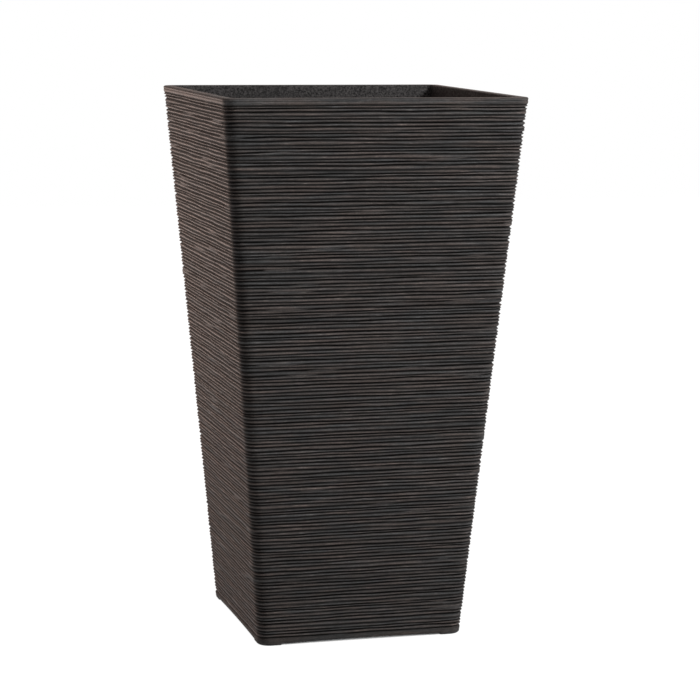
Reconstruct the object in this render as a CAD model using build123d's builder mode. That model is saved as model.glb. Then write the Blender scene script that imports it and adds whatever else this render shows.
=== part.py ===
from build123d import *

import os
from math import sin

# A tall square planter moulded in crumb rubber, ribbed all round. A plastic shelf inside it
# carries the soil, and a rubber plug closes the drain in its floor.
# Millimetres, +Z up, front towards -Y. The origin is on the ground, under the middle of the base.

# Planter shell
height = 711.0
top_width = 399.6
base_width = 277.0
corner_radius = 17.0
rim_wall = 14.5
base_wall = 11.0
floor_thickness = 12.0
cavity_corner_radius = 6.0
cavity_floor_rounding = 5.0
rim_rounding = 3.0
foot_rounding = 3.0

# Ribs on the outside, parted by narrow V-shaped grooves. Their spacing and depth are uneven.
# The plain bands run from the ground, and from the rim, to the middle of the nearest groove.
rib_pitch = 4.5
rib_unevenness = 0.2
rib_beat = 1.3
groove_width = 2.2
groove_depth = 2.1
groove_depth_swing = 0.25
groove_beat = 1.7
plain_foot = 10.5
plain_rim = 8.8

# Corner feet and the arched lower edge between them
foot_length = 30.0
foot_step = 1.5
edge_arch = 1.4

# Lugs on the inside of the walls, which the shelf rests on
shelf_height = 380.0
lug_reach = 14.0
lug_width = 90.0

# Soil shelf
shelf_clearance = 2.0
plate_thickness = 5.0
rib_depth = 14.0
rib_thickness = 4.0
cells_per_side = 3
holes_per_cell = 2
drain_hole_radius = 4.0
finger_slot_length = 70.0
finger_slot_width = 24.0

# Drain and its plug
drain_radius = 13.0
seat_radius = 24.0
seat_depth = 3.0
plug_clearance = 0.3
plug_recess = 1.0
plug_head_thickness = 4.0
plug_stem_draft = 1.5
plug_edge_rounding = 1.0
grip_length = 30.0
grip_thickness = 8.0
grip_height = 14.0
grip_rounding = 2.0

# Heights that follow from the sizes above
underside = foot_step + edge_arch
floor_top = underside + floor_thickness
seat_height = floor_top - seat_depth
plug_end = underside + plug_recess


def half_width(z):
    """Half the shell's width at height z. The walls are straight from the ground to the rim."""
    return (base_width + (top_width - base_width) * z / height) / 2


def cavity_half_width(z):
    """Half the cavity's width at height z. The wall grows evenly thicker towards the rim."""
    wall = base_wall + (rim_wall - base_wall) * z / height
    return half_width(z) - wall


lug_face = cavity_half_width(shelf_height) - lug_reach
plate_half_width = cavity_half_width(shelf_height) - shelf_clearance
plate_corner_radius = cavity_corner_radius
skirt_half_width = lug_face - shelf_clearance
cell = 2 * skirt_half_width / cells_per_side

# The cavity, made as the core of the mould that forms it.
# A slot cut in each side of the core leaves a lug on the wall, flat on top and faded out below.
with BuildPart() as core:
    for z in (floor_top, height):
        with BuildSketch(Plane.XY.offset(z)):
            RectangleRounded(2 * cavity_half_width(z), 2 * cavity_half_width(z), cavity_corner_radius)
    loft(ruled=True)
    fillet(core.edges().group_by(Axis.Z)[0], cavity_floor_rounding)
    with BuildSketch(Plane.XY.offset(floor_top)):
        with PolarLocations(lug_face, 4):
            Rectangle(2 * lug_reach, lug_width, align=(Align.MIN, Align.CENTER))
    extrude(amount=shelf_height - floor_top, mode=Mode.SUBTRACT)

# Stations up the outside of the wall: each is a height, and a depth under the crests of the ribs
ribbed_height = height - plain_foot - plain_rim
rib_count = round(ribbed_height / rib_pitch)
stations = [(0, 0)]
for groove in range(rib_count + 1):
    place = (groove + rib_unevenness * sin(rib_beat * groove**2)) / rib_count
    middle = plain_foot + ribbed_height * place
    depth = groove_depth * (1 + groove_depth_swing * sin(groove_beat * groove))
    stations += [(middle - groove_width / 2, 0), (middle, depth), (middle + groove_width / 2, 0)]
stations.append((height, 0))

# The shell: four tapered, ribbed walls and a floor in one moulding
with BuildPart() as shell:
    for z, depth in stations:
        with BuildSketch(Plane.XY.offset(z)):
            width = 2 * (half_width(z) - depth)
            RectangleRounded(width, width, corner_radius - depth)
    loft(ruled=True, clean=False)
    fillet(shell.edges().group_by(Axis.Z)[0], foot_rounding)

    # Two crossing tunnels with arched roofs leave a foot standing at each corner
    tunnel_half_width = base_width / 2 - foot_length
    for side in (Plane.XZ, Plane.YZ):
        with BuildSketch(side):
            with BuildLine():
                springing = [(-tunnel_half_width, foot_step), (tunnel_half_width, foot_step)]
                ThreePointArc(springing[0], (0, underside), springing[1])
                Polyline(springing[1], (tunnel_half_width, 0), (-tunnel_half_width, 0), springing[0])
            make_face()
        extrude(amount=base_width, both=True, mode=Mode.SUBTRACT)

    add(core.part, mode=Mode.SUBTRACT, clean=False)
    with Locations((0, 0, floor_top)):
        CounterBoreHole(drain_radius, seat_radius, seat_depth)
    fillet(shell.edges().group_by(Axis.Z)[-1], rim_rounding)

# The shelf: a perforated plate on a square skirt, which drops between the lugs
with BuildPart() as soil_shelf:
    with BuildSketch(Plane.XY.offset(shelf_height)):
        RectangleRounded(2 * plate_half_width, 2 * plate_half_width, plate_corner_radius)
    extrude(amount=plate_thickness)

    with BuildSketch(Plane.XY.offset(shelf_height)):
        Rectangle(2 * skirt_half_width, 2 * skirt_half_width)
        Rectangle(
            2 * (skirt_half_width - rib_thickness),
            2 * (skirt_half_width - rib_thickness),
            mode=Mode.SUBTRACT,
        )
        with GridLocations(cell, 0, cells_per_side - 1, 1):
            Rectangle(rib_thickness, 2 * skirt_half_width)
        with GridLocations(0, cell, 1, cells_per_side - 1):
            Rectangle(2 * skirt_half_width, rib_thickness)
    extrude(amount=-rib_depth)

    # Drain holes stand clear of the ribs, and a finger slot each side lifts the shelf out
    hole_pitch = cell / holes_per_cell
    holes_per_side = cells_per_side * holes_per_cell
    with BuildSketch(Plane.XY.offset(shelf_height)):
        with GridLocations(hole_pitch, hole_pitch, holes_per_side, holes_per_side):
            Circle(drain_hole_radius)
        with GridLocations(2 * cell, 0, 2, 1):
            SlotOverall(finger_slot_length, finger_slot_width, rotation=90)
    extrude(amount=plate_thickness, mode=Mode.SUBTRACT)

# The plug: a head in the seat, a tapered stem in the drain and a bar to pull it by
with BuildPart() as drain_plug:
    stem_radius = drain_radius - plug_clearance
    head_radius = seat_radius - plug_clearance
    head_top = seat_height + plug_head_thickness
    with BuildSketch(Plane.XZ):
        with BuildLine():
            Polyline(
                (0, plug_end),
                (stem_radius - plug_stem_draft, plug_end),
                (stem_radius, seat_height),
                (head_radius, seat_height),
                (head_radius, head_top),
                (0, head_top),
                close=True,
            )
        make_face()
    revolve(axis=Axis.Z)
    fillet(drain_plug.edges().group_by(Axis.Z)[-1], plug_edge_rounding)
    with BuildSketch(Plane.XY.offset(head_top)):
        SlotOverall(grip_length, grip_thickness)
    extrude(amount=grip_height)
    fillet(drain_plug.edges().group_by(Axis.Z)[-1], grip_rounding)

os.makedirs("parts", exist_ok=True)
shell.part.label = "shell"
export_step(shell.part, "parts/shell.step")
soil_shelf.part.label = "soil_shelf"
export_step(soil_shelf.part, "parts/soil_shelf.step")
drain_plug.part.label = "drain_plug"
export_step(drain_plug.part, "parts/drain_plug.step")
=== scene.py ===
# %% [markdown]
# # A tall ribbed planter in crumb rubber
# The planter is one moulding: rubber crumb, pressed hot with a binder between a ribbed outer mould
# and a smooth core. A loose plastic shelf and a rubber plug stand inside it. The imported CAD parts
# are the fixed frame, and this lesson dresses them. The grooves of the CAD shell run straight and
# stay the same all the way round, so a mesh with livelier ones takes its place. The shelf and the
# plug keep their shapes and get their finishes.

# %% Load the frame
import math

import bpy
import numpy as np
from mathutils import Matrix, Vector


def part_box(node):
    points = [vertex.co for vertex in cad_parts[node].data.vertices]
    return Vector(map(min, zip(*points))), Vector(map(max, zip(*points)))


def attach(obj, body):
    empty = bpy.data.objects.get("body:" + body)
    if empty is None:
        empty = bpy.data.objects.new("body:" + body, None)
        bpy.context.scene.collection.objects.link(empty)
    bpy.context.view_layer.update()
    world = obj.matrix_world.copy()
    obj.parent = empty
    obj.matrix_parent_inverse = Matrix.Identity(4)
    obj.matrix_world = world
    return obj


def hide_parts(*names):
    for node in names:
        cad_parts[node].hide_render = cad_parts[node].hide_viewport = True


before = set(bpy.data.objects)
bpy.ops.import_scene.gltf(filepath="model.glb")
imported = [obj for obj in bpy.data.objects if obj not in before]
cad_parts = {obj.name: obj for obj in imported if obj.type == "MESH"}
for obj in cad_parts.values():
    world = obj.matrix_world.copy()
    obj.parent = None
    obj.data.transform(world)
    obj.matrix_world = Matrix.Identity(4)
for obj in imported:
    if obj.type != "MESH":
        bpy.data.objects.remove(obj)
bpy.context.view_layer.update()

MM = 0.001
shell_low, shell_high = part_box("shell")
HEIGHT = shell_high.z
print(f"the shell is {HEIGHT / MM:.0f} mm tall and {(shell_high.x - shell_low.x) / MM:.0f} mm wide")

# %% [markdown]
# ## The camera
# A long lens far away keeps the walls nearly parallel, as in a catalogue picture. The camera is
# placed by its turn round the planter, its height angle and its distance, and then aimed. Its
# matrix is written out from its right, up and backward directions, because a look-at constraint
# can't hold the slight roll.

# %% Place the camera
CAMERA_AZIMUTH = math.radians(-15.33)
CAMERA_ELEVATION = math.radians(8.83)
CAMERA_DISTANCE = 4.5146 * HEIGHT
CAMERA_ROLL = math.radians(0.52)
AIM_TURN = 0.0056
AIM_TILT = 0.0028
LENS_MM = 122.75
SENSOR_MM = 36


def camera_matrix():
    """The camera stands on a sphere round the shell's middle, looks at it, turns by the two small
    aim angles and rolls about its own line of sight."""
    world_up = Vector((0, 0, 1))
    out = Vector((
        math.cos(CAMERA_ELEVATION) * math.sin(CAMERA_AZIMUTH),
        -math.cos(CAMERA_ELEVATION) * math.cos(CAMERA_AZIMUTH),
        math.sin(CAMERA_ELEVATION),
    ))
    right = world_up.cross(out).normalized()
    ahead = (-out + AIM_TURN * right + AIM_TILT * out.cross(right)).normalized()
    right = ahead.cross(world_up).normalized()
    up = right.cross(ahead)
    cosine, sine = math.cos(CAMERA_ROLL), math.sin(CAMERA_ROLL)
    axes = Matrix((cosine * right + sine * up, cosine * up - sine * right, -ahead)).transposed()
    middle = Vector((0, 0, HEIGHT / 2))
    return Matrix.Translation(middle + CAMERA_DISTANCE * out) @ axes.to_4x4()


camera = bpy.data.objects.new("camera", bpy.data.cameras.new("camera"))
bpy.context.scene.collection.objects.link(camera)
camera.data.lens = LENS_MM
camera.data.sensor_width = SENSOR_MM
camera.matrix_world = camera_matrix()
bpy.context.scene.camera = camera
print("camera at", [round(v, 4) for v in camera.matrix_world.translation])

# %% [markdown]
# ## The studio
# The floor and the background are white paper. The main soft lamp stands high at the front right
# and lights the front wall at a slant. A second one, low behind on the left, rakes along the left
# wall. The rounded corner between those walls faces neither of them, so it stays dark, which draws
# the shape. A weak lamp overhead, a little in front, opens up the rim and the inside.

# %% Helpers for shader nodes
def node(tree, kind, **values):
    """Adds a shader node, sets its properties, and sets its sockets where the name is a socket's."""
    made = tree.nodes.new(kind)
    for name, value in values.items():
        if hasattr(made, name):
            setattr(made, name, value)
        else:
            made.inputs[name.replace("_", " ")].default_value = value
    return made


def new_material(name):
    """An empty node material, with its output node."""
    material = bpy.data.materials.new(name)
    material.use_nodes = True
    tree = material.node_tree
    tree.nodes.clear()
    return material, tree, node(tree, "ShaderNodeOutputMaterial")


# %% World: white to the eye, warm paper and a dim room in reflections, low as a light
WORLD_LIGHT = 0.16
REFLECTED_BACK = (1.0, 0.80, 0.72, 1)
REFLECTED_FRONT = (0.04, 0.04, 0.04, 1)
# The Y of a reflected direction where the paper begins, and where nothing else is seen
PAPER_BEGINS = -0.15
PAPER_ALONE = 0.25


def build_world():
    """Camera rays see white. Glossy and transmission rays see warm paper behind the planter and
    the dim room in front of it. Diffuse rays get a low even light."""
    world = bpy.data.worlds.new("studio")
    bpy.context.scene.world = world
    world.use_nodes = True
    tree = world.node_tree
    tree.nodes.clear()
    path = node(tree, "ShaderNodeLightPath")
    direction = node(tree, "ShaderNodeTexCoord")
    split = node(tree, "ShaderNodeSeparateXYZ")
    tree.links.new(direction.outputs["Generated"], split.inputs[0])
    edge = dict(From_Min=PAPER_BEGINS, From_Max=PAPER_ALONE)
    behind = node(tree, "ShaderNodeMapRange", interpolation_type="SMOOTHSTEP", **edge)
    tree.links.new(split.outputs["Y"], behind.inputs["Value"])
    room = node(tree, "ShaderNodeMix", data_type="RGBA")
    room.inputs["A"].default_value = REFLECTED_FRONT
    room.inputs["B"].default_value = REFLECTED_BACK
    tree.links.new(behind.outputs["Result"], room.inputs["Factor"])
    seen = node(tree, "ShaderNodeBackground", Color=(1, 1, 1, 1), Strength=1.0)
    mirrored = node(tree, "ShaderNodeBackground", Strength=1.0)
    tree.links.new(room.outputs["Result"], mirrored.inputs["Color"])
    light = node(tree, "ShaderNodeBackground", Color=(1, 1, 1, 1), Strength=WORLD_LIGHT)
    bent = node(tree, "ShaderNodeMath", operation="MAXIMUM")
    tree.links.new(path.outputs["Is Glossy Ray"], bent.inputs[0])
    tree.links.new(path.outputs["Is Transmission Ray"], bent.inputs[1])
    glossy_mix = node(tree, "ShaderNodeMixShader")
    tree.links.new(bent.outputs[0], glossy_mix.inputs[0])
    tree.links.new(light.outputs[0], glossy_mix.inputs[1])
    tree.links.new(mirrored.outputs[0], glossy_mix.inputs[2])
    camera_mix = node(tree, "ShaderNodeMixShader")
    tree.links.new(path.outputs["Is Camera Ray"], camera_mix.inputs[0])
    tree.links.new(glossy_mix.outputs[0], camera_mix.inputs[1])
    tree.links.new(seen.outputs[0], camera_mix.inputs[2])
    output = node(tree, "ShaderNodeOutputWorld")
    tree.links.new(camera_mix.outputs[0], output.inputs[0])


build_world()
bpy.context.scene.view_settings.view_transform = "Standard"
print("the world lights the planter at a strength of", WORLD_LIGHT)

# %% Floor: white paper that keeps a faint shadow
FLOOR_SIDE = 12.0
FLOOR_COLOUR = (0.85, 0.83, 0.82, 1)
SHADOW_SHARE = 0.05
SHADOW_REACH = (0.25, 0.6)
CONTACT_REACH = 0.03
CONTACT_OPENNESS = (0.01, 0.2)
WHITE = 1.06


def build_floor():
    """A flat sheet at the planter's feet. To the camera and in reflections it is plain white, with a
    small share of its lit surface mixed in near the planter, so that only the shadow shows. Right
    under the base the white dies away too, by how closed in the paper is there: a painted shadow."""
    half = FLOOR_SIDE / 2
    mesh = bpy.data.meshes.new("floor")
    corners = [(-half, -half, 0), (half, -half, 0), (half, half, 0), (-half, half, 0)]
    mesh.from_pydata(corners, [], [(0, 1, 2, 3)])
    floor = bpy.data.objects.new("floor", mesh)
    bpy.context.scene.collection.objects.link(floor)
    material, tree, output = new_material("white paper")
    link = tree.links.new
    path = node(tree, "ShaderNodeLightPath")
    paper = node(tree, "ShaderNodeBsdfDiffuse", Color=FLOOR_COLOUR)
    white = node(tree, "ShaderNodeEmission", Color=(1, 1, 1, 1))
    # Painted shadow: the white fades to nothing where the paper is closed in, right under and against the
    # base
    closed_in = node(tree, "ShaderNodeAmbientOcclusion", Distance=CONTACT_REACH)
    dark, clear = CONTACT_OPENNESS
    whites = dict(From_Min=dark, From_Max=clear, To_Min=0.0, To_Max=WHITE)
    open_above = node(tree, "ShaderNodeMapRange", **whites)
    link(closed_in.outputs["AO"], open_above.inputs["Value"])
    link(open_above.outputs["Result"], white.inputs["Strength"])

    looked_at = node(tree, "ShaderNodeMath", operation="ADD", use_clamp=True)
    link(path.outputs["Is Camera Ray"], looked_at.inputs[0])
    link(path.outputs["Is Glossy Ray"], looked_at.inputs[1])
    either = node(tree, "ShaderNodeMath", operation="ADD", use_clamp=True)
    link(looked_at.outputs[0], either.inputs[0])
    link(path.outputs["Is Transmission Ray"], either.inputs[1])

    where = node(tree, "ShaderNodeTexCoord")
    distance = node(tree, "ShaderNodeVectorMath", operation="LENGTH")
    link(where.outputs["Object"], distance.inputs[0])
    near, far = SHADOW_REACH
    shares = dict(From_Min=near, From_Max=far, To_Min=1 - SHADOW_SHARE, To_Max=1.0)
    white_share = node(tree, "ShaderNodeMapRange", interpolation_type="SMOOTHSTEP", **shares)
    link(distance.outputs["Value"], white_share.inputs["Value"])
    share = node(tree, "ShaderNodeMath", operation="MULTIPLY")
    link(either.outputs[0], share.inputs[0])
    link(white_share.outputs["Result"], share.inputs[1])
    mix = node(tree, "ShaderNodeMixShader")
    link(share.outputs[0], mix.inputs[0])
    link(paper.outputs[0], mix.inputs[1])
    link(white.outputs[0], mix.inputs[2])
    link(mix.outputs[0], output.inputs[0])
    mesh.materials.append(material)


build_floor()
print(f"paper {FLOOR_SIDE:.0f} m square, with a shadow within {SHADOW_REACH[1]} m of the middle")

# %% Lamps
HIGHEST_AIM = 0.55


def soft_lamp(name, azimuth, distance, height, size, power, colour):
    """A rectangular lamp at an azimuth, a distance and a height, turned to face the planter's axis
    at that height, but never above HIGHEST_AIM of the planter. Azimuth 0 is in front, and 90 is to
    the right. Lengths are in metres, and the power is in watts."""
    data = bpy.data.lights.new(name, "AREA")
    data.shape = "RECTANGLE"
    data.size, data.size_y = size
    data.energy = power
    data.color = colour
    lamp = bpy.data.objects.new(name, data)
    bpy.context.scene.collection.objects.link(lamp)
    turn = math.radians(azimuth)
    lamp.location = (distance * math.sin(turn), -distance * math.cos(turn), height)
    target = Vector((0, 0, min(height, HIGHEST_AIM * HEIGHT)))
    lamp.rotation_euler = (target - lamp.location).to_track_quat("-Z", "Y").to_euler()
    lamp.visible_camera = False
    print(f"{name}: {power} W, {height} m high")


soft_lamp("right softbox", 49, 2.6, 2.5, (0.5, 0.8), 130, (0.95, 0.99, 1.0))
soft_lamp("back left softbox", -146, 1.5, 0.44, (0.7, 0.44), 8, (1.0, 0.72, 0.61))
soft_lamp("overhead softbox", 24, 0.9, 2.2, (0.8, 0.8), 6.5, (1.0, 0.98, 0.97))

# %% [markdown]
# ## The ribbed shell
# The real wall is combed with narrow grooves at uneven heights, about 150 of them. A groove wanders
# up and down a little and fades in and out along the wall, so two ribs often merge into a wide one.
# A bump map would leave the silhouette straight, so the ribs are real geometry.
#
# The whole shell is one closed grid. Its columns run round the planter, and its rows follow a loop:
# up the ribbed wall, over the rim, down into the cavity, across the floor, down the drain and back
# under the feet. Every row is a rounded square or a circle, worked out as whole arrays.

# %% Driving sizes of the shell
TOP_HALF = 199.7 * MM
BASE_HALF = 138.5 * MM
CORNER_RADIUS = 17 * MM
CAVITY_CORNER = 6 * MM
RIM_WALL = 14.5 * MM
BASE_WALL = 11 * MM
FLOOR_TOP = 14.9 * MM
FOOT_LENGTH = 30 * MM
FOOT_STEP = 1.5 * MM
EDGE_ARCH = 1.4 * MM
DRAIN_RADIUS = 13 * MM
SEAT_RADIUS = 24 * MM
SEAT_DEPTH = 3 * MM


def half_width(z):
    """Half the shell's width over the rib crests at height z: a straight taper."""
    return BASE_HALF + (TOP_HALF - BASE_HALF) * np.asarray(z) / HEIGHT


def cavity_half(z):
    """Half the cavity's width at height z: the outer half width less an evenly growing wall."""
    return half_width(z) - (BASE_WALL + (RIM_WALL - BASE_WALL) * np.asarray(z) / HEIGHT)


print(f"{2 * BASE_HALF / MM:.1f} mm square at the ground and {2 * TOP_HALF / MM:.1f} mm at the rim")

# %% Columns round the planter
# A place along a side, called t, runs from -1 to 1 between the side's two corner arcs. These are
# the foot's end and middle, the notch's length, the gaps left where a column would fall on a step,
# and the last of the evenly spaced columns.
FOOT_T = (BASE_HALF - FOOT_LENGTH) / (BASE_HALF - CORNER_RADIUS)
FOOT_MIDDLE_T = 0.945
NOTCH_T = 0.03
FOOT_GAP = 0.003
NOTCH_GAP = 0.001
ARCH_GAP = 0.004
EVEN_T = 0.8
EVEN_COLUMNS = 15
ARC_STEPS = 6

foot_side = np.array([1.0, FOOT_MIDDLE_T, FOOT_T + FOOT_GAP])
notch_side = np.array([FOOT_T - NOTCH_GAP, FOOT_T - NOTCH_T, FOOT_T - NOTCH_T - ARCH_GAP])
middle_side = np.linspace(-EVEN_T, EVEN_T, EVEN_COLUMNS)
side_t = np.concatenate([-foot_side, -notch_side, middle_side, notch_side[::-1], foot_side[::-1]])
side_columns = len(side_t)
arc_angle = np.radians(-90 + 90 * np.arange(1, ARC_STEPS) / ARC_STEPS)


def turned(pairs):
    """The front side's columns, then the same turned a quarter turn three times, as one ring."""
    rings = [pairs]
    for _ in range(3):
        last = rings[-1]
        rings.append(np.stack([-last[:, 1], last[:, 0]], 1))
    return np.concatenate(rings)


core = turned(np.concatenate([
    np.stack([side_t, -np.ones(side_columns)], 1),
    np.tile([1.0, -1.0], (ARC_STEPS - 1, 1)),
]))
normal = turned(np.concatenate([
    np.tile([0.0, -1.0], (side_columns, 1)),
    np.stack([np.cos(arc_angle), np.sin(arc_angle)], 1),
]))
COLUMNS = len(core)
along = np.abs(np.tile(np.concatenate([side_t, np.ones(ARC_STEPS - 1)]), 4))
print(f"{COLUMNS} columns, {COLUMNS // 4} to a side with its corner")


def section(half, radius, z, inset=0.0):
    """Rings of a rounded square. A point is (half - radius) times its place on the unit square, plus
    (radius - inset) times its outward direction, so an inset is even round the corner too."""
    half, radius, z, inset = (np.atleast_1d(v) for v in (half, radius, z, inset))
    half, radius = half[:, None], radius[:, None]
    z = z[:, None] if z.ndim == 1 else z
    inset = inset[:, None] if inset.ndim == 1 else inset
    shape = np.broadcast_shapes(half.shape, z.shape, inset.shape, (1, COLUMNS))
    x = (half - radius) * core[:, 0] + (radius - inset) * normal[:, 0]
    y = (half - radius) * core[:, 1] + (radius - inset) * normal[:, 1]
    return np.stack([np.broadcast_to(v, shape) for v in (x, y, z)], -1)


# %% [markdown]
# ### Grooves
# The grooves keep the heights that the CAD wall gives them: evenly spaced, plus a sine of a fast
# growing phase, which looks random. Over that, each groove wanders a little and changes depth as
# it goes round. What varies along a wall has to meet itself after a full turn, so it is a sum of
# whole waves round the perimeter, each with a seeded random phase.

# %% Lay out the grooves
RIB_PITCH = 4.5 * MM
RIB_UNEVENNESS = 0.2
RIB_BEAT = 1.3
PLAIN_FOOT = 10.5 * MM
PLAIN_RIM = 8.8 * MM
GROOVE_DEPTH = 2.55 * MM
GROOVE_SWING = 0.32
GROOVE_BEAT = 1.7

random = np.random.default_rng(seed=28)
span = HEIGHT - PLAIN_FOOT - PLAIN_RIM
rib_count = round(span / RIB_PITCH)
groove_number = np.arange(rib_count + 1)
unevenness = RIB_UNEVENNESS * np.sin(RIB_BEAT * groove_number**2)
groove_z = PLAIN_FOOT + span * (groove_number + unevenness) / rib_count
groove_count = len(groove_z)
middle_ring = section(half_width(HEIGHT / 2), CORNER_RADIUS, 0)[0, :, :2]
steps = np.linalg.norm(np.roll(middle_ring, -1, 0) - middle_ring, axis=1)
turn = (np.cumsum(steps) - steps) / steps.sum() * 2 * math.pi


def waves(rows, lowest, highest):
    """Smooth noise round the perimeter, one line for each row, with mean 0 and spread about 1:
    the sum of cosines of whole waves lowest to highest, each with its own random phase."""
    order = np.arange(lowest, highest + 1)
    phase = random.uniform(0, 2 * math.pi, (rows, len(order), 1))
    parts = np.cos(order[:, None] * turn + phase)
    return parts.sum(1) / math.sqrt(len(order) / 2)


def smooth_step(value, low, high):
    """0 below low, 1 above high, and an S-shaped curve between."""
    share = np.clip((value - low) / (high - low), 0, 1)
    return share * share * (3 - 2 * share)


# How far a groove wanders, how uneven its depth is, and how much of the depth is lost where it
# fades. A groove fades where its own noise rises from the first to the second of FADE_AT, and its
# depth stays between two shares of the plain depth.
WANDER = 0.28 * MM
DEPTH_NOISE = 0.12
FADE_LOSS = 0.7
FADE_AT = (1.5, 2.3)
LEAST_DEPTH, MOST_DEPTH = 0.15, 1.15
# How far a crest is sunk: a size, and in units of it the mean, the unevenness and the most
CREST_SINK = 0.3 * MM
SINK_MEAN, SINK_NOISE, SINK_MOST = 0.8, 0.9, 2.5

wander = WANDER * waves(groove_count, lowest=2, highest=16)
fade = 1 + DEPTH_NOISE * waves(groove_count, lowest=3, highest=30)
fading = waves(groove_count, lowest=1, highest=12)
fade = fade * (1 - FADE_LOSS * smooth_step(fading, *FADE_AT))
swing = 1 + GROOVE_SWING * np.sin(GROOVE_BEAT * groove_number)[:, None]
depth = GROOVE_DEPTH * swing * np.clip(fade, LEAST_DEPTH, MOST_DEPTH)
sinking = waves(groove_count + 1, lowest=1, highest=30)
crest_inset = CREST_SINK * np.clip(SINK_MEAN + SINK_NOISE * sinking, 0, SINK_MOST)
pitch = np.diff(groove_z).mean()
print(f"{groove_count} grooves, pitch {pitch / MM:.2f} mm, depth {depth.mean() / MM:.2f} mm")

# %% Rows of the ribbed wall
# Four rows for each groove: the rib's crest under it, its lower shoulder, its bottom and its upper
# shoulder. A last crest row ends the field. A groove is as wide as its share of the gap between
# neighbours, and a shoulder takes part of the groove's depth and part of its crest's inset.
GROOVE_SHARE = 0.54
SHOULDER_DEPTH = 0.42
SHOULDER_SINK = 0.5
SHOULDER_SHADE = 0.4

crest_z = np.concatenate([
    [groove_z[0] - RIB_PITCH / 2],
    (groove_z[1:] + groove_z[:-1]) / 2,
    [groove_z[-1] + RIB_PITCH / 2],
])
level = np.zeros((1, COLUMNS))
crest_wander = np.concatenate([level, (wander[1:] + wander[:-1]) / 2, level])
gap = np.concatenate([[RIB_PITCH], np.diff(groove_z), [RIB_PITCH]])
half_below = GROOVE_SHARE / 2 * gap[:-1, None]
half_above = GROOVE_SHARE / 2 * gap[1:, None]

wall_z = np.empty((4 * groove_count + 1, COLUMNS))
wall_inset = np.empty_like(wall_z)
wall_crest = np.empty_like(wall_z)
wall_z[0::4] = crest_z[:, None] + crest_wander
wall_z[1::4] = groove_z[:, None] + wander - half_below
wall_z[2::4] = groove_z[:, None] + wander
wall_z[3::4] = groove_z[:, None] + wander + half_above
wall_inset[0::4] = crest_inset
wall_inset[1::4] = SHOULDER_DEPTH * depth + SHOULDER_SINK * crest_inset[:-1]
wall_inset[2::4] = depth
wall_inset[3::4] = SHOULDER_DEPTH * depth + SHOULDER_SINK * crest_inset[1:]
# Painted shade: the shoulders and the bottom of each groove store low values, which darken the colour
# there, and a faded groove is darkened less
wall_crest[0::4] = 1
wall_crest[1::4] = SHOULDER_SHADE
wall_crest[3::4] = SHOULDER_SHADE
wall_crest[2::4] = 1 - np.clip(fade, LEAST_DEPTH, 1)
wall = section(half_width(wall_z.mean(1)), CORNER_RADIUS, wall_z, wall_inset)
print(f"{len(wall)} rows of wall, at most {wall_inset.max() / MM:.2f} mm deep")

# %% [markdown]
# ### Rim, cavity and floor
# The rim is rounded over on both edges, with a shallow valley just under it. The cavity is smooth,
# with small rounded corners, because a core pulled out of it once. Its floor carries a seat and a
# drain, so the rows turn from rounded squares into circles.

# %% Rows of the rim, the cavity and the floor
ROUND_STEPS = 5
RIM_ROUND = 3.0 * MM
RIM_HEIGHT = 2.4 * MM
RIM_INSET = 0.2 * MM
INNER_ROUND = 2.2 * MM
FLOOR_ROUND = 5 * MM
CAVITY_START = 12 * MM
CAVITY_ROWS = 26
# The valley under the rim: how far below the top each of its rows lies, and how far in
VALLEY = np.array([[5.6, 0.1], [4.7, 0.3], [4.0, 0.7], [3.3, 0.3]]) * MM

quarter = np.linspace(0, math.pi / 2, ROUND_STEPS)
valley_z = HEIGHT - VALLEY[:, 0]
valley = section(half_width(valley_z), CORNER_RADIUS, valley_z, VALLEY[:, 1])
over_z = HEIGHT - RIM_HEIGHT * (1 - np.sin(quarter))
over_inset = RIM_INSET + RIM_ROUND * (1 - np.cos(quarter))
over = section(half_width(over_z), CORNER_RADIUS, over_z, over_inset)
inner_z = HEIGHT - INNER_ROUND * (1 - np.cos(quarter))
inner_round_half = cavity_half(inner_z) + INNER_ROUND * (1 - np.sin(quarter))
inner_radius = CAVITY_CORNER + INNER_ROUND * (1 - np.sin(quarter))
inner = section(inner_round_half, inner_radius, inner_z)
cavity_z = np.linspace(HEIGHT - CAVITY_START, FLOOR_TOP + FLOOR_ROUND, CAVITY_ROWS)
cavity = section(cavity_half(cavity_z), CAVITY_CORNER, cavity_z)
bend_z = FLOOR_TOP + FLOOR_ROUND * (1 - np.sin(quarter[1:]))
bend_inset = FLOOR_ROUND * (1 - np.cos(quarter[1:]))
floor_round = section(cavity_half(bend_z), CAVITY_CORNER, bend_z, bend_inset)

# A circle's first point is turned so that the front side's middle column points to -Y
start = -math.pi / 2 - 2 * math.pi * (side_columns // 2) / COLUMNS
circle_angle = start + 2 * math.pi * np.arange(COLUMNS) / COLUMNS
circle = np.stack([np.cos(circle_angle), np.sin(circle_angle)], 1)


def ring(radius, z):
    """Circles of the given radii at the given heights, with one point for each column."""
    radius, z = np.atleast_1d(radius)[:, None], np.atleast_1d(z)[:, None]
    x, y = radius * circle[:, 0], radius * circle[:, 1]
    return np.stack([x, y, np.broadcast_to(z, x.shape)], -1)


def between(first, last, shares):
    """Rings on the way from one ring to another, each at a share of the way."""
    shares = np.asarray(shares)[:, None, None]
    return (1 - shares) * first + shares * last


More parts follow.
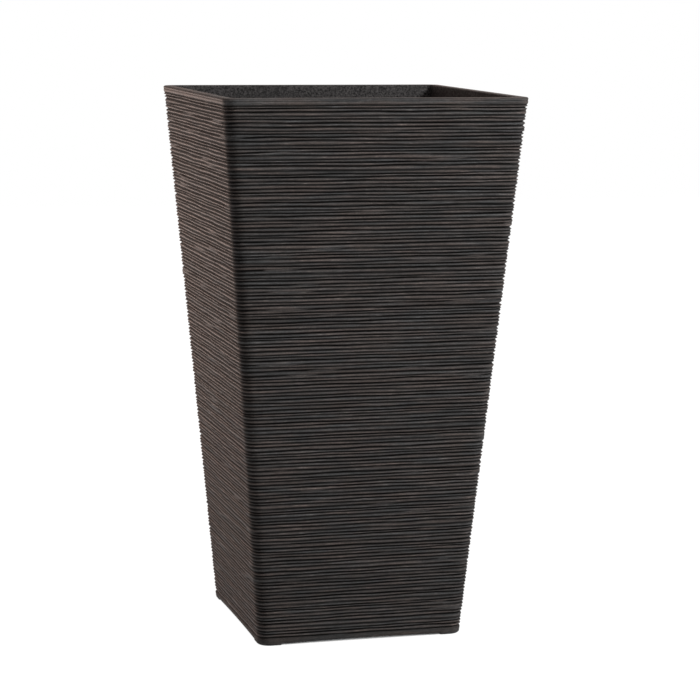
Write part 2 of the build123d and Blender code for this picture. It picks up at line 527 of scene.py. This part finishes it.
# EDGE is the width of the small flat that stands for each worn sharp edge
EDGE = 0.4 * MM
SEAT_Z = FLOOR_TOP - SEAT_DEPTH
UNDERSIDE = FOOT_STEP + EDGE_ARCH
seat_edge = ring(
    [SEAT_RADIUS + EDGE, SEAT_RADIUS, SEAT_RADIUS],
    [FLOOR_TOP, FLOOR_TOP - EDGE, SEAT_Z + EDGE],
)
floor_rows = between(floor_round[-1], seat_edge[0], [0.25, 0.5, 0.75])
drain_rows = ring(
    [SEAT_RADIUS - EDGE, DRAIN_RADIUS + EDGE, DRAIN_RADIUS, DRAIN_RADIUS, DRAIN_RADIUS + EDGE],
    [SEAT_Z, SEAT_Z, SEAT_Z - EDGE, UNDERSIDE + EDGE, UNDERSIDE],
)
print(f"the floor lies at {FLOOR_TOP / MM:.1f} mm, and its drain opens at {UNDERSIDE / MM:.1f} mm")

# %% [markdown]
# ### Feet and underside
# The lower edge of each wall is arched clear of the ground, so the planter stands on its four
# corners. A foot is as long as the arch leaves it, and ends in a small notch. Under the base two
# arched tunnels cross, which is the same shape seen from below.

# %% Rows of the feet and the underside
FOOT_ROUND = 3 * MM
NOTCH_RISE = 0.7 * MM
FOOT_END = BASE_HALF - FOOT_LENGTH
is_foot = along > FOOT_T
is_notch = ~is_foot & (along > FOOT_T - NOTCH_T - NOTCH_GAP)


def arch(x):
    """Height of a tunnel's roof across its width: a shallow parabola between the feet, 0 outside."""
    share = np.clip(np.abs(x) / FOOT_END, 0, 1)
    return np.where(share < 1, FOOT_STEP + EDGE_ARCH * (1 - share**2), 0)


side_x = along * (BASE_HALF - CORNER_RADIUS)
edge_z = np.where(is_foot, 0, arch(side_x)) + np.where(is_notch, NOTCH_RISE, 0)
lower_z = FOOT_ROUND * (1 - np.cos(quarter))[:, None] + edge_z
lower_inset = FOOT_ROUND * (1 - np.sin(quarter))
foot_rows = section(BASE_HALF, CORNER_RADIUS, lower_z, lower_inset)

# Inside the feet a ring's corner is small, so the columns of the feet close up on it too: the
# outward direction turns by equal steps from the first of them, through the arc, to the last
INNER_FOOT_RADIUS = 3 * MM
foot_columns = len(foot_side)
corner_step = 90 / (2 * (foot_columns - 1) + ARC_STEPS)
inner_angle = np.radians(np.concatenate([
    -90 - corner_step * np.arange(foot_columns)[::-1],
    np.full(side_columns - 2 * foot_columns, -90.0),
    -90 + corner_step * np.arange(foot_columns + ARC_STEPS - 1),
]))
inner_core = turned(np.concatenate([
    np.stack([np.clip(side_t / FOOT_T, -1, 1), -np.ones(side_columns)], 1),
    np.tile([1.0, -1.0], (ARC_STEPS - 1, 1)),
]))
inner_normal = turned(np.stack([np.cos(inner_angle), np.sin(inner_angle)], 1))


def foot_ring(half):
    """A ring just inside the feet, as x and y: a square with a small rounded corner."""
    return (half - INNER_FOOT_RADIUS) * inner_core + INNER_FOOT_RADIUS * inner_normal


def underside_z(plan):
    """Height of the underside at a plan position: the higher of the two crossing tunnels."""
    return np.maximum(arch(plan[..., 0]), arch(plan[..., 1]))


foot_inner = foot_ring(FOOT_END + EDGE)
foot_back = foot_ring(FOOT_END - EDGE)
inside_rows = [
    np.concatenate([foot_inner, np.where(is_foot, 0, underside_z(foot_inner))[:, None]], 1),
    np.concatenate([foot_back, underside_z(foot_back)[:, None]], 1),
]
drain_plan = ring(DRAIN_RADIUS + 2 * EDGE, 0)[0, :, :2]
under_plans = between(foot_back, drain_plan, [0.3, 0.6, 0.85, 1.0])
under_rows = np.concatenate([under_plans, underside_z(under_plans)[..., None]], 2)
print(f"{is_foot.sum()} columns stand on the ground, and the arches rise {UNDERSIDE / MM:.1f} mm")

# %% Join the rows into one closed surface
def closed_grid(name, rows):
    """A torus of quads from a grid of points. Row r, column c meets row r + 1 and column c + 1, and
    the last of each meets the first, so the surface has no edge."""
    count, columns = rows.shape[:2]
    index = np.arange(count * columns).reshape(count, columns)
    right = np.roll(index, -1, 1)
    above = np.roll(index, -1, 0)
    quads = np.stack([index, right, np.roll(above, -1, 1), above], -1).reshape(-1, 4)
    mesh = bpy.data.meshes.new(name)
    mesh.vertices.add(count * columns)
    mesh.vertices.foreach_set("co", rows.reshape(-1).astype(np.float32))
    mesh.loops.add(quads.size)
    mesh.loops.foreach_set("vertex_index", quads.reshape(-1).astype(np.int32))
    mesh.polygons.add(len(quads))
    mesh.polygons.foreach_set("loop_start", np.arange(0, quads.size, 4, dtype=np.int32))
    mesh.update(calc_edges=True)
    mesh.validate()
    mesh.shade_smooth()
    made = bpy.data.objects.new(name, mesh)
    bpy.context.scene.collection.objects.link(made)
    return made


parts = [
    foot_rows, wall, valley, over, inner, cavity, floor_round, floor_rows, seat_edge, drain_rows,
    under_rows[::-1], np.stack(inside_rows[::-1]),
]
rows = np.concatenate(parts)
shell = closed_grid("ribbed_shell", rows)
print(f"{rows.shape[0]} rows, {2 * rows.shape[0] * COLUMNS} triangles")

# %% Store how high each point stands on its rib, and the painted shade of each row
# 1 is a crest and 0 the bottom of a groove, and the colour darkens towards 0: painted shade in the
# grooves. The plain bands are a little darker than a crest. The rim's outer edge is darker still and
# its top a little darker, painted shade that holds down the lamps' light there, and the valley under
# the rim is painted dark as shade. The band at the foot is painted darkest where it meets the
# ground, as the shade under the planter.
BAND_SHADE = 0.8
VALLEY_SHADE = 0.3
EDGE_SHADE = 0.5
TOP_SHADE = 0.68
FOOT_BAND_SHADE = 0.52
FOOT_EDGE_SHADE = 0.2
VALLEY_BOTTOM = 2

wall_start = len(foot_rows)
valley_start = wall_start + len(wall)
over_start = valley_start + len(valley)
rim_top = over_start + len(over)
crest = np.ones(rows.shape[:2])
crest[:rim_top] = BAND_SHADE
crest[wall_start:valley_start - 1] = wall_crest[:-1]
crest[:wall_start + 1] = FOOT_BAND_SHADE
crest[0] = FOOT_EDGE_SHADE
crest[valley_start + VALLEY_BOTTOM] = VALLEY_SHADE
crest[over_start + 1:rim_top - 1] = EDGE_SHADE
crest[rim_top - 1:rim_top + 1] = TOP_SHADE
attribute = shell.data.attributes.new("crest", "FLOAT", "POINT")
attribute.data.foreach_set("value", crest.reshape(-1).astype(np.float32))
print(f"the outside takes the first {rim_top + 1} rows, and its mean shade is {crest[:rim_top].mean():.2f}")

# The outside wears the first material, and every face past the rim's top wears the second
quad_row = np.repeat(np.arange(len(rows)), COLUMNS)
shell.data.polygons.foreach_set("material_index", (quad_row > rim_top).astype(np.int32))

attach(shell, "planter")
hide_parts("shell")

# %% [markdown]
# ### Lugs
# The shelf rests on a lug on the inside of each wall. The core that forms the cavity has a slot
# there, so a lug is flat on top, stands upright in front, and runs out into the sloping wall below.
# Each is a tube of rounded rectangles, a little sunk into the wall, and closed at both ends.

# %% Build the four lugs
LUG_REACH = 14 * MM
LUG_WIDTH = 90 * MM
LUG_ROUND = 2 * MM
LUG_ROOT = 3 * MM
LUG_ROWS = 12
# The most that a corner's radius may take of a ring's half depth, and an inset of that radius
MOST_RADIUS = 0.8
MOST_INSET = 0.95
PLATE = 5 * MM
LUG_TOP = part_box("soil_shelf")[1].z - PLATE

lug_face = float(cavity_half(LUG_TOP)) - LUG_REACH
corner_turn = np.linspace(0, 90, ROUND_STEPS)
corner_angle = np.radians(np.add.outer([-90, 0, 90, 180], corner_turn)).reshape(-1)
corner_x = np.repeat([1, 1, -1, -1], ROUND_STEPS)
corner_y = np.repeat([-1, 1, 1, -1], ROUND_STEPS)


def lug_rings():
    """Rounded rectangles up a lug on the +X wall. A ring reaches from the lug's face into the wall
    behind it, and the lowest is the one whose face lies half of LUG_ROOT inside the wall. The last
    rings draw in along a quarter circle, which rounds the top edge."""
    wall_taper = float(cavity_half(1.0) - cavity_half(0.0))
    foot = (lug_face - LUG_ROOT / 2 - float(cavity_half(0.0))) / wall_taper
    straight_z = np.linspace(foot, LUG_TOP - LUG_ROUND, LUG_ROWS)
    z = np.concatenate([straight_z, LUG_TOP - LUG_ROUND * (1 - np.sin(quarter[1:]))])
    inset = np.concatenate([np.zeros(LUG_ROWS), LUG_ROUND * (1 - np.cos(quarter[1:]))])
    root = cavity_half(z) + LUG_ROOT
    middle, half = (root + lug_face) / 2, (root - lug_face) / 2
    radius = np.minimum(LUG_ROUND, MOST_RADIUS * half)
    reach = (radius - np.minimum(inset, MOST_INSET * radius))[:, None]
    x = middle[:, None] + (half - radius)[:, None] * corner_x + reach * np.cos(corner_angle)
    y = (LUG_WIDTH / 2 - radius)[:, None] * corner_y + reach * np.sin(corner_angle)
    return np.stack([x, y, np.broadcast_to(z[:, None], x.shape)], -1)


SHARP_ANGLE = math.radians(40)


def capped_tubes(name, tubes):
    """Tubes of quads between rings, each closed by a flat face at either end. Edges that turn by
    more than SHARP_ANGLE stay sharp."""
    points, faces = [], []
    for rings in tubes:
        count, columns = rings.shape[:2]
        index = len(points) * count * columns + np.arange(count * columns).reshape(count, columns)
        right = np.roll(index, -1, 1)
        faces += np.stack([index[:-1], right[:-1], right[1:], index[1:]], -1).reshape(-1, 4).tolist()
        faces += [index[0, ::-1].tolist(), index[-1].tolist()]
        points.append(rings.reshape(-1, 3))
    mesh = bpy.data.meshes.new(name)
    mesh.from_pydata(np.concatenate(points), [], faces)
    mesh.shade_smooth()
    mesh.set_sharp_from_angle(angle=SHARP_ANGLE)
    made = bpy.data.objects.new(name, mesh)
    bpy.context.scene.collection.objects.link(made)
    return made


lug = lug_rings()
lugs = [lug]
for _ in range(3):
    lugs.append(np.stack([-lugs[-1][..., 1], lugs[-1][..., 0], lugs[-1][..., 2]], -1))
shelf_lugs = capped_tubes("shelf_lugs", lugs)
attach(shelf_lugs, "planter")
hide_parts("shell")
print(f"lugs from z {lug[0, 0, 2] / MM:.0f} to {lug[-1, 0, 2] / MM:.0f} mm, face at {lug_face / MM:.1f} mm")

# %% [markdown]
# ## Finishes
# Crumb rubber is never one colour. On the ribs the crests are lighter and the grooves darker, which
# is painted shade in the grooves. Streaks run along the ribs where the crumb was combed, and a few
# flecks of pale crumb show. Broad patches lean to a warmer or cooler, a lighter or darker brown, and
# the lowest third of the wall is slightly darker, which is painted shade. The painted shade of the
# ribs is read from the heights stored on the mesh, so that it follows each groove. Every other
# pattern is noise on Object coordinates, squeezed along the height for streaks.

# %% Helpers for patterns
def noise(tree, coordinates, scale, detail=3.0, roughness=0.6):
    """Noise on coordinates stretched by a scale for each axis, in cycles per metre."""
    mapping = node(tree, "ShaderNodeMapping")
    mapping.inputs["Scale"].default_value = scale
    tree.links.new(coordinates, mapping.inputs["Vector"])
    made = node(tree, "ShaderNodeTexNoise", Scale=1.0, Detail=detail, Roughness=roughness)
    tree.links.new(mapping.outputs[0], made.inputs["Vector"])
    return made.outputs["Fac"]


def ranged(tree, value, low, high, start=0.3, end=0.7):
    """Maps a value from start..end to low..high, clamped."""
    made = node(tree, "ShaderNodeMapRange", From_Min=start, From_Max=end, To_Min=low, To_Max=high)
    tree.links.new(value, made.inputs["Value"])
    return made.outputs["Result"]


def combine(tree, operation, first, second):
    """One Math node on two values, each a socket or a number."""
    made = node(tree, "ShaderNodeMath", operation=operation)
    for socket, value in zip(made.inputs, (first, second)):
        if isinstance(value, (int, float)):
            socket.default_value = value
        else:
            tree.links.new(value, socket)
    return made.outputs[0]


def product(tree, *values):
    """Several values multiplied together."""
    result = values[0]
    for value in values[1:]:
        result = combine(tree, "MULTIPLY", result, value)
    return result


def blended(tree, share, dark, light):
    """A colour between dark and light, by a share from 0 to 1. Light may be a colour or a socket."""
    made = node(tree, "ShaderNodeMix", data_type="RGBA")
    factor, first, second = (socket for socket in made.inputs if socket.enabled)
    tree.links.new(share, factor)
    first.default_value = dark
    if isinstance(light, bpy.types.NodeSocket):
        tree.links.new(light, second)
    else:
        second.default_value = light
    return next(socket for socket in made.outputs if socket.enabled)


def finish(tree, output, colour, shade, height, bump_distance, bump_strength, roughness, specular):
    """A Principled surface: the colour times its shade, with a bump and a roughness pattern."""
    shaded = node(tree, "ShaderNodeVectorMath", operation="SCALE")
    tree.links.new(colour, shaded.inputs[0])
    tree.links.new(shade, shaded.inputs["Scale"])
    bump = node(tree, "ShaderNodeBump", Strength=bump_strength, Distance=bump_distance)
    tree.links.new(height, bump.inputs["Height"])
    surface = node(tree, "ShaderNodeBsdfPrincipled")
    surface.inputs["Specular IOR Level"].default_value = specular
    tree.links.new(shaded.outputs[0], surface.inputs["Base Color"])
    tree.links.new(roughness, surface.inputs["Roughness"])
    tree.links.new(bump.outputs[0], surface.inputs["Normal"])
    tree.links.new(surface.outputs[0], output.inputs[0])


# %% Ribbed rubber
WARM_CREST = (0.072, 0.055, 0.049, 1)
COOL_CREST = (0.048, 0.046, 0.046, 1)
# Painted shade: the near black colour at the bottom of a groove stands for the shade in it
GROOVE_SHADE_COLOUR = (0.004, 0.003, 0.0026, 1)
CREST_ROUGHNESS = 0.6
GROOVE_ROUGHNESS = 0.95
FLECK = 2.0
# Painted shade for the light falling off towards the ground: the colour is multiplied by FOOT_SHADE
# up to the first height, and this fades out by the second
FOOT_SHADE = 0.86
FOOT_SHADE_Z = (0.05, 0.32)


def ribbed_rubber():
    """The outside: dark grooves and paler crests, by the height stored on each point. A pattern is
    given in cycles per metre along X, Y and Z and its detail, and then by the range it shades."""
    material, tree, output = new_material("ribbed crumb rubber")
    where = node(tree, "ShaderNodeTexCoord").outputs["Object"]
    crest_at = node(tree, "ShaderNodeAttribute", attribute_name="crest").outputs["Fac"]
    streaks = noise(tree, where, (22, 22, 420), 4)
    hair = noise(tree, where, (60, 60, 1300), 2)
    patches = noise(tree, where, (4, 4, 150), 2)
    flecks = noise(tree, where, (48, 48, 620), 2)
    grain = noise(tree, where, (480, 480, 640), 2)
    mottle = noise(tree, where, (130, 130, 200), 3)
    tint = noise(tree, where, (14, 14, 130), 2)
    clouds = noise(tree, where, (9, 9, 34), 2)
    crests = blended(tree, ranged(tree, tint, 0, 1, 0.38, 0.62), COOL_CREST, WARM_CREST)
    # Painted shade: the colour runs from the groove's near black at 0 to the crest colour at 1, by the
    # stored values
    ribs = blended(tree, ranged(tree, crest_at, 0, 1, 0.15, 0.92), GROOVE_SHADE_COLOUR, crests)
    split = node(tree, "ShaderNodeSeparateXYZ")
    tree.links.new(where, split.inputs[0])
    # The first factor is painted shade on the lower wall, and the others are random tone, streaks and
    # flecks
    shade = product(
        tree, ranged(tree, split.outputs["Z"], FOOT_SHADE, 1, *FOOT_SHADE_Z),
        ranged(tree, streaks, 0.72, 1.28), ranged(tree, hair, 0.82, 1.18),
        ranged(tree, patches, 0.76, 1.24), ranged(tree, flecks, 1, FLECK, 0.59, 0.72),
        ranged(tree, clouds, 0.86, 1.14),
        ranged(tree, grain, 0.78, 1.22), ranged(tree, mottle, 0.84, 1.16),
    )
    combed = combine(tree, "ADD", product(tree, hair, 0.5), streaks)
    relief = combine(tree, "ADD", combed, product(tree, grain, 0.5))
    rough = ranged(tree, crest_at, GROOVE_ROUGHNESS, CREST_ROUGHNESS, 0.2, 0.9)
    finish(
        tree, output, ribs, shade, relief,
        bump_distance=0.5 * MM, bump_strength=0.6, roughness=rough, specular=0.3,
    )
    return material


# %% Pressed crumb
CRUMB_DARK = (0.007, 0.006, 0.0058, 1)
CRUMB_LIGHT = (0.060, 0.053, 0.052, 1)


def pressed_crumb():
    """The inside and the underside: grains of crumb about 2 mm across, pressed flat by the core."""
    material, tree, output = new_material("pressed crumb rubber")
    where = node(tree, "ShaderNodeTexCoord").outputs["Object"]
    crumb = noise(tree, where, (430, 430, 430), 3)
    dust = noise(tree, where, (1400, 1400, 1400), 1)
    patches = noise(tree, where, (14, 14, 14), 2)
    grains = blended(tree, ranged(tree, crumb, 0, 1, 0.36, 0.68), CRUMB_DARK, CRUMB_LIGHT)
    shade = product(tree, ranged(tree, patches, 0.85, 1.15), ranged(tree, dust, 0.85, 1.15))
    rough = ranged(tree, crumb, 0.9, 0.65)
    finish(
        tree, output, grains, shade, crumb,
        bump_distance=0.8 * MM, bump_strength=0.6, roughness=rough, specular=0.2,
    )
    return material


crumb_material = pressed_crumb()
shell.data.materials.append(ribbed_rubber())
shell.data.materials.append(crumb_material)
shelf_lugs.data.materials.append(crumb_material)
print("the shell wears", [material.name for material in shell.data.materials])

# %% [markdown]
# ## The shelf and the plug
# The shelf is a moulded tray in black plastic with a fine grained skin, a little polished where
# hands and pots rub it. The plug is soft black rubber with a faint pale bloom. Both are CAD parts
# whose shape is right, so only their material slots change.

# %% Moulded plastic and soft rubber
PLASTIC = (0.013, 0.013, 0.013, 1)
DUSTY_PLASTIC = (0.022, 0.021, 0.020, 1)
RUBBER = (0.009, 0.009, 0.009, 1)
BLOOMED_RUBBER = (0.020, 0.019, 0.018, 1)


def moulded_plastic():
    """Near black plastic: a fine sparked grain as bump, and worn patches that are less rough."""
    material, tree, output = new_material("moulded black plastic")
    where = node(tree, "ShaderNodeTexCoord").outputs["Object"]
    spark = noise(tree, where, (1500, 1500, 1500), 2)
    worn = noise(tree, where, (16, 16, 16), 3)
    dust = noise(tree, where, (70, 70, 70), 4)
    colour = blended(tree, ranged(tree, dust, 0, 1, 0.4, 0.75), PLASTIC, DUSTY_PLASTIC)
    shade = ranged(tree, worn, 0.85, 1.15)
    rough = ranged(tree, worn, 0.62, 0.42)
    finish(
        tree, output, colour, shade, spark,
        bump_distance=0.12 * MM, bump_strength=0.35, roughness=rough, specular=0.5,
    )
    return material


def soft_rubber():
    """Matt black rubber with a cloudy bloom and a fine pebbled skin."""
    material, tree, output = new_material("soft black rubber")
    where = node(tree, "ShaderNodeTexCoord").outputs["Object"]
    bloom = noise(tree, where, (55, 55, 55), 4)
    pebble = noise(tree, where, (900, 900, 900), 2)
    colour = blended(tree, ranged(tree, bloom, 0, 1, 0.4, 0.7), RUBBER, BLOOMED_RUBBER)
    shade = ranged(tree, pebble, 0.9, 1.1)
    rough = ranged(tree, bloom, 0.55, 0.75)
    finish(
        tree, output, colour, shade, pebble,
        bump_distance=0.15 * MM, bump_strength=0.4, roughness=rough, specular=0.4,
    )
    return material


for part, make in (("soil_shelf", moulded_plastic), ("drain_plug", soft_rubber)):
    made = make()
    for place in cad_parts[part].material_slots:
        place.material = made
    print(part, "wears", made.name)
